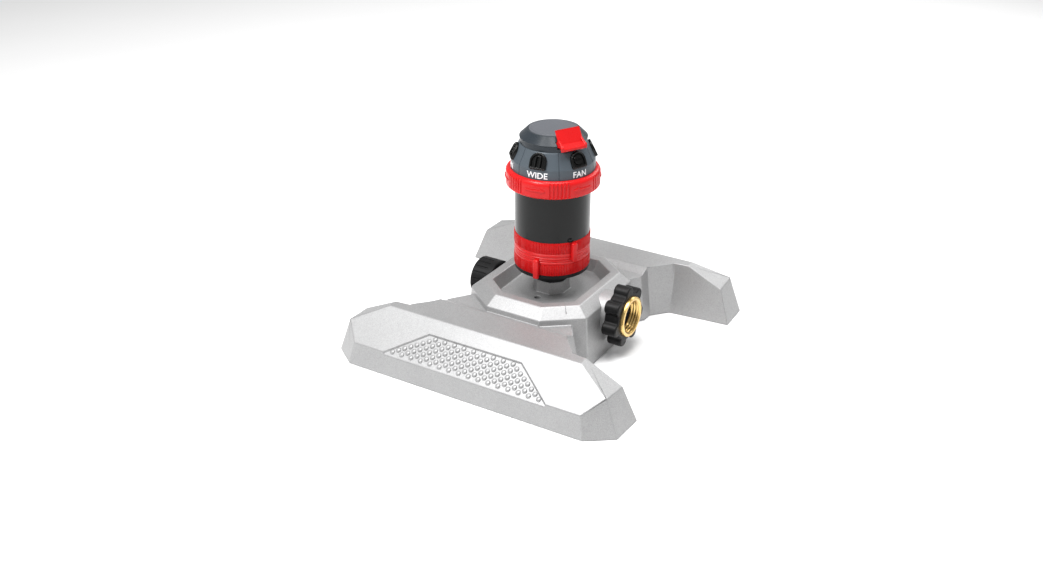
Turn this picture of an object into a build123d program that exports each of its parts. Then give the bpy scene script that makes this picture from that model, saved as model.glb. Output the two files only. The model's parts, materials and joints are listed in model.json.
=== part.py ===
from build123d import *
from math import acos, asin, atan2, cos, degrees, pi, radians, sin, sqrt, tan
import os

# Turret sprinkler on a cast H-shaped sled, in millimetres.
# The origin is the centre of the footprint on the ground, +X points to the hose inlet,
# and +Z is up. The turret stands a little off centre, towards the inlet.
TURRET_X = 4.5
RUNNING_GAP = 0.06

# Sled: two pads across the ends of a wing, with an octagonal housing in the middle.
PAD_FRONT_Y = 125.7
PAD_CORNER = (102.0, 122.0, 111.3)
PAD_INNER_Y = 82.0
PAD_LIP = (98.3, 122.6, 18.06)
PAD_SHOULDER = (111.9, 109.0, 28.7)
PAD_HEEL = (112.9, 86.9, 27.8)
PAD_RIDGE = (83.6, 95.4)
SLED_TOP = 41.8
WING_ROOT = (73.35, 77.3)
WING_TOP_OUTLINE = [(70.6, 88.0), (70.6, 84.0), (55.8, 66.9), (55.0, 56.3), (41.0, 36.5)]
WING_DRAFT = 8.5
LEDGE_Z = 38.0
LEDGE_EDGE_Y = 66.7
LEDGE_FOOT_Y = 59.0
CASTING_WALL = 3.0
RIB_THICK = 2.0
RIB_PITCH = 24.0
RIB_FOOT_Z = 2.0

TREAD_TOP = (40.2, 12.6)
TREAD_FOOT = (70.2, 35.9)
TREAD_DEPTH = 1.3

# Octagonal housing and its drip tray.
RIM_Z = 49.8
RIM_HALF_X = 43.3
RIM_HALF_Y = 50.45
RIM_CORNER_X = 20.5
RIM_CORNER_Y = 32.7
SHOULDER_Z = 42.3
SHOULDER_OUT = 8.5
GROUND_OUT = 11.2
RIM_WIDTH = 6.8
TRAY_FLOOR_Z = 40.0
TRAY_WALL_RUN = 5.0
TRAY_FLOOR_THICK = 3.0
BOSS_RADIUS = 14.8
BOSS_TOP_RADIUS = 14.2
BOSS_TOP_Z = 50.0
SOCKET_RADIUS = 11.0
DRAIN_RADIUS = 2.5
DRAIN_Y = -21.8

# Water way. The hose connections share one axis; the manifold runs lower, under the tray.
HOSE_Z = 32.6
TUBE_Z = 27.0
TUBE_RADIUS = 8.6
TUBE_BORE = 6.0
STUB_RADIUS = 16.4
INLET_STUB_X = 61.0
CAP_RECESS_X = -44.3
CAP_RECESS_RADIUS = 16.9
CAP_RECESS_WALL = 2.6
STUB_HOLE = 13.4
STUB_LENGTH = 10.2
NIPPLE_RADIUS = 13.0
NIPPLE_BORE = 9.5
INLET_NIPPLE_X = 65.8
CAP_NIPPLE_X = -57.6
RISER_RADIUS = 8.9
EAR_OFFSET = 15.5
EAR_RADIUS = 3.9
EAR_Z = (22.5, 25.5)
SCREW_RADIUS = 1.9

# Inlet swivel and end cap.
GRIP_X = (61.6, 74.0)
GRIP_LOBES = 7
GRIP_TIP = 24.4
GRIP_VALLEY = 19.2
BRASS_RADIUS = 16.0
BRASS_END_X = 76.5
HOSE_THREAD_RADIUS = 12.5
WASHER_SEAT_RADIUS = 12.9
WASHER_SEAT_DEPTH = 2.65
END_CAP_X = (-44.6, -62.8)
END_CAP_COLLAR = 4.6
END_CAP_RADIUS = 16.4
END_CAP_BORE = 13.2

# Turret foot and stop rings.
FOOT_NECK_RADIUS = 13.2
FOOT_FLANGE_RADIUS = 29.0
FOOT_FLANGE_Z = (60.6, 63.3)
SLEEVE_RADIUS = 23.0
SLEEVE_THICK = 2.2
SLEEVE_TOP_Z = 90.0
SPINDLE_RADIUS = 9.0
SPINDLE_BORE = 6.5
SPINDLE_Z = (50.6, 127.0)
RING_RADIUS = 29.6
RING_BORE = 26.6
LOWER_RING_Z = (63.4, 76.5)
UPPER_RING_Z = (76.6, 90.6)
TAB_TIP_RADIUS = 32.8
TAB_WIDTH = 4.2
LOWER_TAB_ANGLE = -83.0
UPPER_TAB_ANGLE = -27.6

# Turret shell, gear train and nozzle head.
SHELL_RADIUS = 29.04
SHELL_WALL = 2.4
SHELL_Z = (90.75, 131.0)
FLOOR_Z = (96.0, 98.4)
COVER_Z = (117.0, 119.0)
HEAD_PLATE_Z = (127.2, 130.0)
SHAFT_RADIUS = 1.2
SHAFT_CIRCLE = 18.0
OUTPUT_SHAFT_ANGLE = 60.0
SELECTOR_Z = (128.9, 142.5)
SELECTOR_RADIUS = 36.0
DIAL_BAND = (32.2, 141.6)
DIAL_SHOULDER = (31.8, 150.2)
DIAL_TOP = (26.0, 162.0)
CAP_BAND_RADIUS = 25.5
CAP_EDGE = (25.8, 166.8)
CAP_CROWN = (20.0, 172.3)
DISC_RADIUS = 18.7
DISC_Z = (170.9, 172.7)
NOZZLE_COUNT = 6
ACTIVE_NOZZLE_ANGLE = -22.2
NOZZLE_Z = 156.0
NOZZLE_HALF_WIDTH = 6.6
NOZZLE_HEIGHT = 12.6
NOZZLE_PROUD = 1.8
FLAP_ANGLE = -29.4
FLAP_PIN = (21.2, 166.6)
FLAP_PIN_RADIUS = 0.8
FLAP_BARREL_RADIUS = 1.7
FLAP_WIDTH = 20.4
FLAP_LIP_WIDTH = 22.0
FLAP_CORNER = 2.4
FLAP_GUSSET = 1.4
FLAP_SIDE_GAP = 0.35
FLAP_PIN_HALF_LENGTH = 12.3
FLAP_ELBOW = (25.4, 168.2)
FLAP_LIP = (30.0, 166.4)

TURRET = Plane((TURRET_X, 0, 0))
os.makedirs("parts", exist_ok=True)


def save(part, name):
    """Label one finished sub-part and write its STEP file."""
    part.label = name
    export_step(part, f"parts/{name}.step")


def turret_level(z):
    """Horizontal plane at height z, centred on the turret's axis."""
    return TURRET.offset(z)


def turret_side(angle):
    """Upright plane through the turret's axis: local x is outwards, local y is up."""
    out = Vector(cos(radians(angle)), sin(radians(angle)), 0)
    return Plane((TURRET_X, 0, 0), x_dir=out, z_dir=out.cross(Vector(0, 0, 1)))


def hose_level(x):
    """Plane across the hose axis at x: local x is +Y and local y is up."""
    return Plane((x, 0, HOSE_Z), x_dir=(0, 1, 0), z_dir=(1, 0, 0))


def face_through(a, b, c, inside):
    """Plane through three points, facing away from the inside point."""
    a, b, c = Vector(*a), Vector(*b), Vector(*c)
    normal = (b - a).cross(c - a).normalized()
    if (Vector(*inside) - a).dot(normal) > 0:
        normal = -normal
    return Plane(a, z_dir=normal)


def bounded_solid(faces, wall):
    """Solid inside all the faces, each of them moved in by the wall."""
    with BuildPart() as block:
        Box(400, 400, 400)
        for face in faces:
            split(bisect_by=face.offset(-wall), keep=Keep.BOTTOM)
    return block.part


def ring_solid(plane, outer, inner, height):
    """Plain ring of one rectangular section, rising from a plane."""
    with BuildPart() as ring:
        with BuildSketch(plane):
            Circle(outer)
            Circle(inner, mode=Mode.SUBTRACT)
        extrude(amount=height)
    return ring.part


# ---------------------------------------------------------------- sled casting

def pad_faces(side):
    """Faces of the front (side -1) or rear (side +1) pad, which mirrors left to right."""
    inside = (0, side * 100, 15)
    lip_x, lip_y, lip_z = PAD_LIP
    low_x, corner_x, corner_y = PAD_CORNER
    faces = [face_through((0, side * PAD_FRONT_Y, 0), (9, side * PAD_FRONT_Y, 0),
                          (0, side * lip_y, lip_z), inside)]
    faces.append(face_through((0, side * lip_y, lip_z), (9, side * lip_y, lip_z),
                              (0, side * PAD_RIDGE[1], SLED_TOP), inside))
    faces.append(face_through((0, 0, SLED_TOP), (9, 0, SLED_TOP), (0, 9, SLED_TOP), inside))
    for end in (-1, 1):
        heel = (end * PAD_HEEL[0], side * PAD_HEEL[1], PAD_HEEL[2])
        corner = (end * corner_x, side * corner_y, 0)
        shoulder = (end * PAD_SHOULDER[0], side * PAD_SHOULDER[1], PAD_SHOULDER[2])
        faces.append(face_through(corner, (end * (corner_x + 1), side * PAD_INNER_Y, 0), heel, inside))
        faces.append(face_through((end * low_x, side * PAD_FRONT_Y, 0), corner,
                                  (end * lip_x, side * lip_y, lip_z), inside))
        ridge = (end * PAD_RIDGE[0], side * PAD_RIDGE[1], SLED_TOP)
        faces.append(face_through(ridge, heel, shoulder, inside))
        faces.append(face_through((end * WING_ROOT[0], side * WING_ROOT[1], 0),
                                  (end * corner_x, side * PAD_INNER_Y, 0), heel, inside))
    return faces


def tread_plane(side):
    """Plane of a pad's sloped face: local x is along the pad and local y runs down from the ridge."""
    ridge_y = PAD_RIDGE[1]
    lip_y, lip_z = PAD_LIP[1:]
    down = Vector(0, side * (lip_y - ridge_y), lip_z - SLED_TOP).normalized()
    along = Vector(side, 0, 0)
    normal = along.cross(down)
    return Plane((0, side * ridge_y, SLED_TOP), x_dir=along, z_dir=normal)


def ground_face(z):
    """The face that ends a form at the bottom."""
    return Plane((0, 0, z), z_dir=(0, 0, -1))


def pad_form(side, wall):
    """One pad; with a wall it is the pad's cavity, which runs out through the bottom."""
    form = bounded_solid(pad_faces(side), wall)
    with BuildPart() as pad:
        add(form)
        split(bisect_by=ground_face(0 if wall == 0 else -20), keep=Keep.BOTTOM)
    return pad.part


def wing_form(wall):
    """The web between the pads, with its sloped shoulders and corner ledges."""
    points = [(x, -y) for x, y in WING_TOP_OUTLINE]
    points += [(x, y) for x, y in reversed(WING_TOP_OUTLINE)]
    points += [(-x, y) for x, y in WING_TOP_OUTLINE]
    points += [(-x, -y) for x, y in reversed(WING_TOP_OUTLINE)]
    run = SLED_TOP * tan(radians(WING_DRAFT))
    with BuildPart() as wing:
        with BuildSketch() as outline:
            Polygon(*points, align=None)
            offset(amount=run - wall, kind=Kind.INTERSECTION)
        extrude(amount=SLED_TOP, taper=WING_DRAFT)
        with BuildSketch(Plane.YZ):
            for side in (-1, 1):
                Polygon((side * LEDGE_EDGE_Y, SLED_TOP - wall), (side * LEDGE_FOOT_Y, LEDGE_Z - wall),
                        (0, LEDGE_Z - wall), (0, 2 * SLED_TOP), (side * 150, 2 * SLED_TOP),
                        (side * 150, SLED_TOP - wall), align=None)
        extrude(amount=150, both=True, mode=Mode.SUBTRACT)
    return wing.part


def octagon(out):
    """Corner points of the housing's octagon, moved out (or in) from the rim's edge."""
    slope = atan2(RIM_HALF_Y - RIM_CORNER_Y, RIM_HALF_X - RIM_CORNER_X)
    x, y = RIM_HALF_X + out, RIM_HALF_Y + out
    near = RIM_CORNER_X + out * tan(slope / 2)
    far = RIM_CORNER_Y + out * tan((pi / 2 - slope) / 2)
    return [(near, -y), (x, -far), (x, far), (near, y), (-near, y), (-x, far), (-x, -far), (-near, -y)]


def octagon_block(low_z, low_out, high_z, high_out):
    """Straight-sided block between two of the housing's octagons."""
    with BuildPart() as block:
        for z, out in ((low_z, low_out), (high_z, high_out)):
            with BuildSketch(turret_level(z)):
                Polygon(*octagon(out), align=None)
        loft(ruled=True)
    return block.part


SIDES = (-1, 1)
with BuildPart() as sled_form:
    for side in SIDES:
        add(pad_form(side, 0))
    add(wing_form(0))
    add(octagon_block(0, GROUND_OUT, SHOULDER_Z, SHOULDER_OUT))
    add(octagon_block(SHOULDER_Z, SHOULDER_OUT, RIM_Z, 0))

with BuildPart() as sled_cavity:
    for side in SIDES:
        add(pad_form(side, CASTING_WALL))
    add(wing_form(CASTING_WALL))
    under_tray = TRAY_FLOOR_Z - TRAY_FLOOR_THICK
    add(octagon_block(-1, GROUND_OUT - CASTING_WALL, under_tray, SHOULDER_OUT - CASTING_WALL))

with BuildPart() as sled_ribs:
    for side in SIDES:
        for step in range(-4, 5):
            with BuildSketch(Plane((step * RIB_PITCH, side * 92, RIB_FOOT_Z))):
                Rectangle(RIB_THICK, 70)
            extrude(amount=SLED_TOP)
        for level in (18.5, 42.0):
            with BuildSketch(Plane((TURRET_X, side * level, RIB_FOOT_Z))):
                Rectangle(112, RIB_THICK)
            extrude(amount=LEDGE_Z - RIB_FOOT_Z)
        for across in (-36, -12, 12, 36):
            with BuildSketch(Plane((TURRET_X + across, side * 38, RIB_FOOT_Z))):
                Rectangle(RIB_THICK, 40)
            extrude(amount=LEDGE_Z - RIB_FOOT_Z)
    add(sled_form.part, mode=Mode.INTERSECT)

with BuildPart() as cap_wall:
    with BuildSketch(hose_level(CAP_RECESS_X - 4)):
        Circle(CAP_RECESS_RADIUS + CAP_RECESS_WALL)
    extrude(amount=7.5)
    add(sled_form.part, mode=Mode.INTERSECT)

with BuildPart() as base_casting:
    add(sled_form.part)
    add(sled_cavity.part, mode=Mode.SUBTRACT)
    add(sled_ribs.part)
    # Shallow tread pockets, which run out over the pads' lips.
    for side in SIDES:
        top_x, top_s = TREAD_TOP
        foot_x, foot_s = TREAD_FOOT
        with BuildSketch(tread_plane(side)):
            Polygon((-top_x, top_s), (top_x, top_s), (foot_x, foot_s), (foot_x, foot_s + 4),
                    (-foot_x, foot_s + 4), (-foot_x, foot_s), align=None)
        extrude(amount=-TREAD_DEPTH, mode=Mode.SUBTRACT)
    # Round stub at the inlet, thicker wall round the end cap, and four screw pillars.
    with BuildSketch(hose_level(INLET_STUB_X - STUB_LENGTH)):
        Circle(STUB_RADIUS)
    extrude(amount=STUB_LENGTH)
    add(cap_wall.part)
    with BuildSketch(Plane((TURRET_X, 0, EAR_Z[1]))):
        with GridLocations(2 * EAR_OFFSET, 2 * EAR_OFFSET - 4, 2, 2):
            Circle(EAR_RADIUS - 0.3)
    extrude(amount=under_tray - EAR_Z[1])
    # Drip tray with its octagonal boss, socket and drain.
    add(octagon_block(TRAY_FLOOR_Z, -RIM_WIDTH - TRAY_WALL_RUN, RIM_Z, -RIM_WIDTH), mode=Mode.SUBTRACT)
    for z, radius in ((TRAY_FLOOR_Z - 1, BOSS_RADIUS), (BOSS_TOP_Z, BOSS_TOP_RADIUS)):
        with BuildSketch(turret_level(z)):
            RegularPolygon(radius, 8, rotation=22.5)
    loft(ruled=True)
    with BuildSketch(turret_level(TRAY_FLOOR_Z - 6)):
        Circle(SOCKET_RADIUS)
    extrude(amount=20, mode=Mode.SUBTRACT)
    with BuildSketch(Plane((TURRET_X, DRAIN_Y, TRAY_FLOOR_Z - 6))):
        Circle(DRAIN_RADIUS)
    extrude(amount=10, mode=Mode.SUBTRACT)
    for x in (CAP_RECESS_X - 1, INLET_STUB_X - 11):
        with BuildSketch(hose_level(x)):
            Circle(STUB_HOLE)
        extrude(amount=12, mode=Mode.SUBTRACT)
    # The end cap's collar sits in a round recess in the housing's wall.
    with BuildSketch(hose_level(CAP_RECESS_X)):
        Circle(CAP_RECESS_RADIUS)
    extrude(amount=-12, mode=Mode.SUBTRACT)
    with BuildSketch(Plane((TURRET_X, 0, EAR_Z[1]))):
        with GridLocations(2 * EAR_OFFSET, 2 * EAR_OFFSET - 4, 2, 2):
            Circle(SCREW_RADIUS)
    extrude(amount=8, mode=Mode.SUBTRACT)
save(base_casting.part, "base_casting")

# ---------------------------------------------------------------- water way

with BuildPart() as water_manifold:
    # Straight tube under the tray, with eccentric ends up on the hose axis.
    with BuildSketch(Plane((CAP_RECESS_X + 10.3, 0, TUBE_Z), x_dir=(0, 1, 0), z_dir=(1, 0, 0))):
        Circle(TUBE_RADIUS)
    extrude(amount=INLET_STUB_X - CAP_RECESS_X - 20.6)
    with BuildSketch(hose_level(INLET_STUB_X - 10.8)):
        Circle(NIPPLE_RADIUS)
    extrude(amount=INLET_NIPPLE_X - INLET_STUB_X + 10.8)
    with BuildSketch(hose_level(INLET_NIPPLE_X - 1.6)):
        Circle(NIPPLE_RADIUS + 1.4)
    extrude(amount=1.6)
    with BuildSketch(hose_level(CAP_NIPPLE_X)):
        Circle(NIPPLE_RADIUS)
    extrude(amount=CAP_RECESS_X + 10.8 - CAP_NIPPLE_X)
    with BuildSketch(turret_level(TUBE_Z)):
        Circle(RISER_RADIUS)
    extrude(amount=SPINDLE_Z[0] - 0.2 - TUBE_Z)
    # Four ears that the screws pass through, on two bars across the tube.
    with BuildSketch(Plane((TURRET_X, 0, EAR_Z[0]))):
        with GridLocations(0, 2 * EAR_OFFSET - 4, 1, 2):
            SlotCenterToCenter(2 * EAR_OFFSET, 2 * EAR_RADIUS)
        Rectangle(12, 2 * EAR_OFFSET - 4)
    extrude(amount=EAR_Z[1] - EAR_Z[0])
    with BuildSketch(Plane((CAP_NIPPLE_X + 6, 0, TUBE_Z), x_dir=(0, 1, 0), z_dir=(1, 0, 0))):
        Circle(TUBE_BORE)
    extrude(amount=INLET_STUB_X - CAP_NIPPLE_X - 12, mode=Mode.SUBTRACT)
    with BuildSketch(hose_level(INLET_STUB_X - 6)):
        Circle(NIPPLE_BORE)
    extrude(amount=20, mode=Mode.SUBTRACT)
    with BuildSketch(hose_level(CAP_RECESS_X)):
        Circle(NIPPLE_BORE)
    extrude(amount=-20, mode=Mode.SUBTRACT)
    with BuildSketch(turret_level(TUBE_Z)):
        Circle(SPINDLE_BORE)
    extrude(amount=40, mode=Mode.SUBTRACT)
    with BuildSketch(Plane((TURRET_X, 0, EAR_Z[0] - 1))):
        with GridLocations(2 * EAR_OFFSET, 2 * EAR_OFFSET - 4, 2, 2):
            Circle(SCREW_RADIUS)
    extrude(amount=6, mode=Mode.SUBTRACT)
    with BuildSketch(turret_level(43.0)):
        Circle(RISER_RADIUS + 1)
        Circle(RISER_RADIUS - 1.3, mode=Mode.SUBTRACT)
    extrude(amount=2.6, mode=Mode.SUBTRACT)
save(water_manifold.part, "water_manifold")

with BuildPart() as manifold_screws:
    with BuildSketch(Plane((TURRET_X, 0, EAR_Z[0]))):
        with GridLocations(2 * EAR_OFFSET, 2 * EAR_OFFSET - 4, 2, 2):
            Circle(SCREW_RADIUS)
    extrude(amount=9)
    with BuildSketch(Plane((TURRET_X, 0, EAR_Z[0] - 2))):
        with GridLocations(2 * EAR_OFFSET, 2 * EAR_OFFSET - 4, 2, 2):
            Circle(3.4)
    extrude(amount=2)
    with BuildSketch(Plane((TURRET_X, 0, EAR_Z[0] - 2))):
        with GridLocations(2 * EAR_OFFSET, 2 * EAR_OFFSET - 4, 2, 2):
            RegularPolygon(1.4, 6)
    extrude(amount=1.2, mode=Mode.SUBTRACT)
save(manifold_screws.part, "manifold_screws")

with BuildPart() as riser_seal:
    with BuildSketch(Plane((TURRET_X, 0, 0), x_dir=(1, 0, 0), z_dir=(0, -1, 0))):
        with Locations((RISER_RADIUS - 0.6, 44.3)):
            Circle(0.68)
    revolve(axis=Axis((TURRET_X, 0, 0), (0, 0, 1)))
save(riser_seal.part, "riser_seal")

# ---------------------------------------------------------------- inlet swivel and end cap

with BuildPart() as inlet_grip:
    # Lobed hand grip, bored for the brass bush in front and for the nipple behind.
    with BuildSketch(hose_level(GRIP_X[0])):
        Circle(GRIP_VALLEY)
        with PolarLocations(GRIP_TIP - 5.4, GRIP_LOBES, start_angle=90):
            Circle(5.4)
    extrude(amount=GRIP_X[1] - GRIP_X[0])
    chamfer(inlet_grip.edges().group_by(Axis.X)[0] + inlet_grip.edges().group_by(Axis.X)[-1], 0.8)
    with BuildSketch(hose_level(GRIP_X[0] - 1)):
        Circle(NIPPLE_RADIUS + RUNNING_GAP)
    extrude(amount=20, mode=Mode.SUBTRACT)
    with BuildSketch(hose_level(GRIP_X[0] + 2.4)):
        Circle(BRASS_RADIUS)
    extrude(amount=20, mode=Mode.SUBTRACT)
save(inlet_grip.part, "inlet_grip")

with BuildPart() as inlet_bush:
    # Threaded brass bush; its inner step holds the washer against the nipple.
    with BuildSketch(hose_level(GRIP_X[0] + 2.4)):
        Circle(BRASS_RADIUS)
    extrude(amount=BRASS_END_X - GRIP_X[0] - 2.4)
    with BuildSketch(hose_level(GRIP_X[0] + 1)):
        Circle(NIPPLE_RADIUS + 1.4 + RUNNING_GAP)
    extrude(amount=INLET_NIPPLE_X + 0.1 - GRIP_X[0] - 1, mode=Mode.SUBTRACT)
    with BuildSketch(hose_level(INLET_NIPPLE_X)):
        Circle(HOSE_THREAD_RADIUS)
    extrude(amount=20, mode=Mode.SUBTRACT)
    with BuildSketch(hose_level(INLET_NIPPLE_X)):
        Circle(WASHER_SEAT_RADIUS)
    extrude(amount=WASHER_SEAT_DEPTH, mode=Mode.SUBTRACT)
    chamfer(inlet_bush.edges().filter_by(GeomType.CIRCLE).group_by(Axis.X)[-1].sort_by(SortBy.RADIUS)[0], 1.0)
save(inlet_bush.part, "inlet_bush")

inlet_washer = ring_solid(hose_level(INLET_NIPPLE_X + 0.15), WASHER_SEAT_RADIUS, 8.5, 2.2)
save(inlet_washer, "inlet_washer")

with BuildPart() as end_cap:
    # Fluted cap with a plain collar, screwed on the outlet nipple.
    with BuildSketch(hose_level(END_CAP_X[1])):
        Circle(END_CAP_RADIUS)
    extrude(amount=END_CAP_X[0] - END_CAP_X[1])
    chamfer(end_cap.edges().group_by(Axis.X)[0], 1.2)
    with BuildSketch(hose_level(END_CAP_X[0] - END_CAP_COLLAR)):
        with PolarLocations(END_CAP_RADIUS + 0.5, 20):
            Rectangle(2.6, 1.5)
    extrude(amount=-40, mode=Mode.SUBTRACT)
    with BuildSketch(hose_level(CAP_NIPPLE_X - 2.3)):
        Circle(END_CAP_BORE - 0.1)
    extrude(amount=40, mode=Mode.SUBTRACT)
save(end_cap.part, "end_cap")

end_cap_washer = ring_solid(hose_level(CAP_NIPPLE_X - 2.2), NIPPLE_RADIUS - 0.2, 8.5, 2.1)
save(end_cap_washer, "end_cap_washer")

# ---------------------------------------------------------------- turret foot and stop rings

TURRET_AXIS = Axis((TURRET_X, 0, 0), (0, 0, 1))
SIDE_PLANE = Plane((TURRET_X, 0, 0), x_dir=(1, 0, 0), z_dir=(0, -1, 0))
flange_low, flange_high = FOOT_FLANGE_Z

with BuildPart() as turret_foot:
    # Neck in the socket, flange under the rings and the sleeve inside them.
    with BuildSketch(SIDE_PLANE):
        with BuildLine():
            Polyline((SPINDLE_RADIUS, TRAY_FLOOR_Z - 3), (SOCKET_RADIUS, TRAY_FLOOR_Z - 3),
                     (SOCKET_RADIUS, BOSS_TOP_Z), (FOOT_NECK_RADIUS, BOSS_TOP_Z),
                     (FOOT_NECK_RADIUS, flange_low - 3), (FOOT_NECK_RADIUS + 3, flange_low),
                     (FOOT_FLANGE_RADIUS, flange_low), (FOOT_FLANGE_RADIUS, flange_high),
                     (SLEEVE_RADIUS, flange_high), (SLEEVE_RADIUS, SLEEVE_TOP_Z),
                     (SLEEVE_RADIUS - SLEEVE_THICK, SLEEVE_TOP_Z),
                     (SLEEVE_RADIUS - SLEEVE_THICK, flange_high),
                     (FOOT_NECK_RADIUS, flange_high), (FOOT_NECK_RADIUS, flange_high + 8),
                     (SPINDLE_RADIUS, flange_high + 8), close=True)
        make_face()
    revolve(axis=TURRET_AXIS)
save(turret_foot.part, "turret_foot")

with BuildPart() as spindle_tube:
    # Water riser that the head turns on; two windows feed the turbine.
    with BuildSketch(turret_level(SPINDLE_Z[0])):
        Circle(SPINDLE_RADIUS)
        Circle(SPINDLE_BORE, mode=Mode.SUBTRACT)
    extrude(amount=SPINDLE_Z[1] - SPINDLE_Z[0])
    with BuildSketch(TURRET.offset(120)):
        Rectangle(40, 4)
    extrude(amount=4, mode=Mode.SUBTRACT)
save(spindle_tube.part, "spindle_tube")


def stop_ring(ring_z, tab_angle, tab_z, lug_z, guide_outer, guide_inner, guide_z):
    """Stop ring: band, outer tab, inner lug and the lip that centres it."""
    out = turret_side(tab_angle)
    with BuildPart() as ring:
        with BuildSketch(turret_level(ring_z[0])):
            Circle(RING_RADIUS)
            Circle(RING_BORE, mode=Mode.SUBTRACT)
        extrude(amount=ring_z[1] - ring_z[0])
        with BuildSketch(turret_level(guide_z[0])):
            Circle(guide_outer)
            Circle(guide_inner, mode=Mode.SUBTRACT)
        extrude(amount=guide_z[1] - guide_z[0])
        tab_low, tab_high = tab_z
        with BuildSketch(out):
            Polygon((RING_RADIUS + 0.4, tab_low), (TAB_TIP_RADIUS, tab_low + 1),
                    (TAB_TIP_RADIUS, tab_high - 1),
                    (RING_RADIUS + 0.4, tab_high), align=None)
            Polygon((RING_RADIUS - 1, ring_z[0] + 1), (RING_RADIUS + 1, ring_z[0] + 1),
                    (RING_RADIUS + 1, ring_z[1] - 1), (RING_RADIUS - 1, ring_z[1] - 1), align=None)
        extrude(amount=TAB_WIDTH / 2, both=True)
        with BuildSketch(out):
            Polygon((SLEEVE_RADIUS + 0.4, lug_z[0]), (RING_BORE + 1, lug_z[0]), (RING_BORE + 1, lug_z[1]),
                    (SLEEVE_RADIUS + 0.4, lug_z[1]), align=None)
        extrude(amount=1.3, both=True)
    return ring.part


lower_low = LOWER_RING_Z[0]
upper_low = UPPER_RING_Z[0]
lower_stop_ring = stop_ring(LOWER_RING_Z, LOWER_TAB_ANGLE, (61.2, 77.0), (66.6, 73.6),
                            RING_BORE + 1, SLEEVE_RADIUS + RUNNING_GAP, (lower_low, lower_low + 2.4))
save(lower_stop_ring, "lower_stop_ring")
upper_stop_ring = stop_ring(UPPER_RING_Z, UPPER_TAB_ANGLE, (75.2, 90.2), (80.0, 88.0),
                            RING_BORE - RUNNING_GAP, RING_BORE - 1.1, (upper_low - 2.2, upper_low + 2.0))
with BuildPart() as upper_stop_ring_whole:
    add(upper_stop_ring)
    with BuildSketch(turret_level(upper_low)):
        Circle(RING_BORE + 1)
        Circle(RING_BORE - 1.1, mode=Mode.SUBTRACT)
    extrude(amount=2)
save(upper_stop_ring_whole.part, "upper_stop_ring")

# ---------------------------------------------------------------- gear train

WHEEL_TEETH = 24
PINION_TEETH = 10
WHEEL_MODULE = 0.6
SUN_TEETH = 24
OUTPUT_TEETH = 12
SUN_MODULE = 1.0
PRESSURE_ANGLE = radians(20)
TOOTH_SLACK = 0.08
CENTRE_STEP = (WHEEL_TEETH + PINION_TEETH) / 2 * WHEEL_MODULE
SHAFT_STEP_ANGLE = degrees(2 * asin(CENTRE_STEP / 2 / SHAFT_CIRCLE))
SHAFT_ANGLES = [OUTPUT_SHAFT_ANGLE + SHAFT_STEP_ANGLE * step for step in range(4)]


def shaft_centre(index):
    """Place of a gear shaft, counted from the output shaft to the turbine shaft."""
    angle = radians(SHAFT_ANGLES[index])
    return Vector(TURRET_X + SHAFT_CIRCLE * cos(angle), SHAFT_CIRCLE * sin(angle), 0)


def heading(start, end):
    """Direction from one centre to another, in degrees."""
    return degrees(atan2(end.Y - start.Y, end.X - start.X))


def meshing_phase(teeth, teeth_phase, other_teeth, direction):
    """Angle of a tooth of the second gear that meshes with the first, seen along direction."""
    pitch = 360 / teeth
    other_pitch = 360 / other_teeth
    return direction + 180 - other_pitch * ((teeth_phase - direction) / pitch + 0.5)


def tooth_half_angle(radius, pitch_radius, teeth):
    """Half of a tooth's angle at a radius, from the involute of its base circle."""
    base = pitch_radius * cos(PRESSURE_ANGLE)
    half = (pi / 2 - TOOTH_SLACK / WHEEL_MODULE) / teeth
    involute = tan(PRESSURE_ANGLE) - PRESSURE_ANGLE
    if radius <= base:
        return half + involute
    local = acos(base / radius)
    return half + involute - (tan(local) - local)


def gear_points(centre, teeth, module, tip, root, phase):
    """Outline of a spur gear with involute flanks."""
    pitch_radius = teeth * module / 2
    base = max(pitch_radius * cos(PRESSURE_ANGLE), root)
    radii = [root, base, (2 * base + tip) / 3, (base + 2 * tip) / 3, tip]
    points = []
    for tooth in range(teeth):
        middle = radians(phase) + tooth * 2 * pi / teeth
        flank = [(radius, tooth_half_angle(radius, pitch_radius, teeth)) for radius in radii]
        outline = [(radius, -half) for radius, half in flank]
        outline += [(radius, half) for radius, half in reversed(flank)]
        for radius, half in outline:
            angle = middle + half
            points.append((centre.X + radius * cos(angle), centre.Y + radius * sin(angle)))
    return points


def gear_solid(centre, teeth, module, addendum, root, phase, z):
    """Spur gear between two heights."""
    with BuildPart() as gear:
        with BuildSketch(Plane((0, 0, z[0]))):
            tip = teeth * module / 2 + addendum
            Polygon(*gear_points(centre, teeth, module, tip, root, phase), align=None)
        extrude(amount=z[1] - z[0])
    return gear.part


def column(centre, radius, z):
    """Upright round column between two heights, for hubs and shaft holes."""
    with BuildPart() as rod:
        with BuildSketch(Plane((centre.X, centre.Y, z[0]))):
            Circle(radius)
        extrude(amount=z[1] - z[0])
    return rod.part


TURRET_CENTRE = Vector(TURRET_X, 0, 0)
SUN_Z = (99.8, 104.6)
HUB_RADIUS = 2.2
with BuildPart() as sun_gear:
    add(gear_solid(TURRET_CENTRE, SUN_TEETH, SUN_MODULE, 0.75, 10.8, OUTPUT_SHAFT_ANGLE, SUN_Z))
    add(column(TURRET_CENTRE, SPINDLE_RADIUS, SUN_Z), mode=Mode.SUBTRACT)
save(sun_gear.part, "sun_gear")

# Each shaft carries a pinion that meshes with the wheel of the shaft before it.
PINION_Z = [(100.2, 104.4), (105.4, 108.4), (109.2, 112.2), (113.0, 116.0)]
WHEEL_Z = [(104.8, 107.8), (108.6, 111.6), (112.4, 115.4)]


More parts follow.
